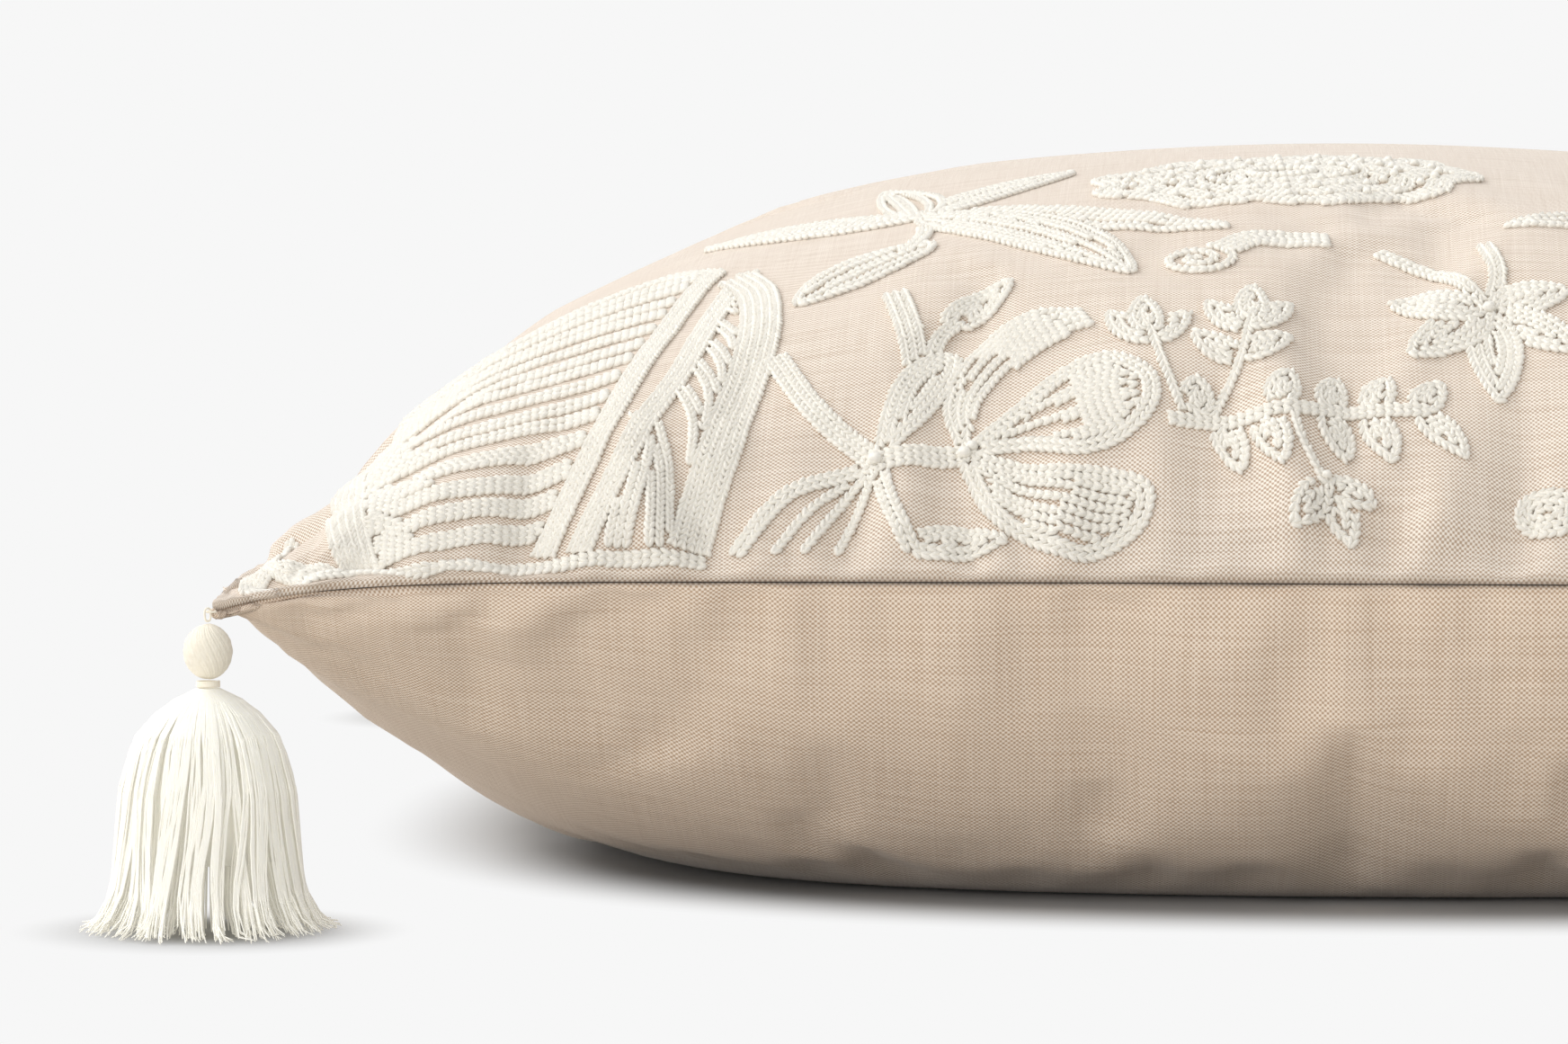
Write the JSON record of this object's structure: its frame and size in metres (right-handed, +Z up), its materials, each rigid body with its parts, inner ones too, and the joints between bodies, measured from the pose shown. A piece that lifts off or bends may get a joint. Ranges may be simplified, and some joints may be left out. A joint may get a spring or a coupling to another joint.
{
  "type": "throw pillow",
  "caption": "Square throw pillow lying flat, with an embroidered front panel, plain back panel, stuffed insert, concealed rear zip and a hanging yarn tassel at each corner.",
  "frame": {"origin": "on the floor under the centre of the pillow, which lies flat on its back panel", "axes": "+Z up through the crown of the front panel; +Y towards the zip side; +X to the right seen from the front side"},
  "size_m": [0.6126, 0.6126, 0.192],
  "materials": {
    "linen": "matte",
    "ivory_yarn": "matte",
    "ticking": "matte",
    "fibre_fill": "matte",
    "zip_tape": "matte",
    "nylon_coil": "satin",
    "zinc": "satin"
  },
  "bodies": {
    "cover": {"front_panel": "linen", "back_panel": "linen", "insert_casing_top": "ticking", "insert_casing_bottom": "ticking", "insert_fill": "fibre_fill", "zip_tape_upper": "zip_tape", "zip_tape_lower": "zip_tape", "zip_coil_upper": "nylon_coil", "zip_coil_lower": "nylon_coil", "zip_stop_closed_end": "zinc", "zip_stop_open_end": "zinc", "corner_stitch_front_left": "ivory_yarn", "corner_stitch_front_right": "ivory_yarn", "corner_stitch_rear_right": "ivory_yarn", "corner_stitch_rear_left": "ivory_yarn", "stitched_front_fern_left": "ivory_yarn", "stitched_rear_fern_left": "ivory_yarn", "stitched_front_fern_right": "ivory_yarn", "stitched_rear_fern_right": "ivory_yarn", "stitched_front_bloom_left": "ivory_yarn", "stitched_rear_bloom_left": "ivory_yarn", "stitched_front_bloom_right": "ivory_yarn", "stitched_rear_bloom_right": "ivory_yarn", "stitched_front_spray_left": "ivory_yarn", "stitched_rear_spray_left": "ivory_yarn", "stitched_front_spray_right": "ivory_yarn", "stitched_rear_spray_right": "ivory_yarn", "stitched_front_twig": "ivory_yarn", "stitched_rear_twig": "ivory_yarn", "stitched_front_star": "ivory_yarn", "stitched_rear_star": "ivory_yarn", "stitched_front_scroll": "ivory_yarn", "stitched_rear_scroll": "ivory_yarn", "stitched_front_rosette": "ivory_yarn", "stitched_rear_rosette": "ivory_yarn", "stitched_front_oval": "ivory_yarn", "stitched_rear_oval": "ivory_yarn"},
    "slider": {"zip_slider": "zinc"},
    "pull": {"zip_pull": "zinc"},
    "loop_front_left": {"tassel_loop_front_left": "ivory_yarn"},
    "tassel_front_left": {"tassel_head_front_left": "ivory_yarn", "tassel_tie_front_left": "ivory_yarn", "tassel_skirt_front_left": "ivory_yarn"},
    "loop_front_right": {"tassel_loop_front_right": "ivory_yarn"},
    "tassel_front_right": {"tassel_head_front_right": "ivory_yarn", "tassel_tie_front_right": "ivory_yarn", "tassel_skirt_front_right": "ivory_yarn"},
    "loop_rear_right": {"tassel_loop_rear_right": "ivory_yarn"},
    "tassel_rear_right": {"tassel_head_rear_right": "ivory_yarn", "tassel_tie_rear_right": "ivory_yarn", "tassel_skirt_rear_right": "ivory_yarn"},
    "loop_rear_left": {"tassel_loop_rear_left": "ivory_yarn"},
    "tassel_rear_left": {"tassel_head_rear_left": "ivory_yarn", "tassel_tie_rear_left": "ivory_yarn", "tassel_skirt_rear_left": "ivory_yarn"}
  },
  "joints": [
    {"name": "slider_travel", "type": "slide", "parent": "cover", "child": "slider", "axis": [-1, 0, 0], "range_m": [0, 0.352]},
    {"name": "pull_swing", "type": "hinge", "parent": "slider", "child": "pull", "pos_m": [0.176, 0.2674, 0.086], "axis": [1, 0, 0], "range_deg": [-8, 155]},
    {"name": "swing_front_left", "type": "hinge", "parent": "cover", "child": "loop_front_left", "pos_m": [-0.28117, -0.28117, 0.079], "axis": [-0.7071, 0.7071, 0], "range_deg": [-15, 85]},
    {"name": "sway_front_left", "type": "hinge", "parent": "loop_front_left", "child": "tassel_front_left", "pos_m": [-0.28117, -0.28117, 0.0767], "axis": [-0.7071, -0.7071, 0], "range_deg": [-35, 35]},
    {"name": "swing_front_right", "type": "hinge", "parent": "cover", "child": "loop_front_right", "pos_m": [0.28117, -0.28117, 0.079], "axis": [-0.7071, -0.7071, 0], "range_deg": [-15, 85]},
    {"name": "sway_front_right", "type": "hinge", "parent": "loop_front_right", "child": "tassel_front_right", "pos_m": [0.28117, -0.28117, 0.0767], "axis": [0.7071, -0.7071, 0], "range_deg": [-35, 35]},
    {"name": "swing_rear_right", "type": "hinge", "parent": "cover", "child": "loop_rear_right", "pos_m": [0.28117, 0.28117, 0.079], "axis": [0.7071, -0.7071, 0], "range_deg": [-15, 85]},
    {"name": "sway_rear_right", "type": "hinge", "parent": "loop_rear_right", "child": "tassel_rear_right", "pos_m": [0.28117, 0.28117, 0.0767], "axis": [0.7071, 0.7071, 0], "range_deg": [-35, 35]},
    {"name": "swing_rear_left", "type": "hinge", "parent": "cover", "child": "loop_rear_left", "pos_m": [-0.28117, 0.28117, 0.079], "axis": [0.7071, 0.7071, 0], "range_deg": [-15, 85]},
    {"name": "sway_rear_left", "type": "hinge", "parent": "loop_rear_left", "child": "tassel_rear_left", "pos_m": [-0.28117, 0.28117, 0.0767], "axis": [-0.7071, 0.7071, 0], "range_deg": [-35, 35]}
  ]
}
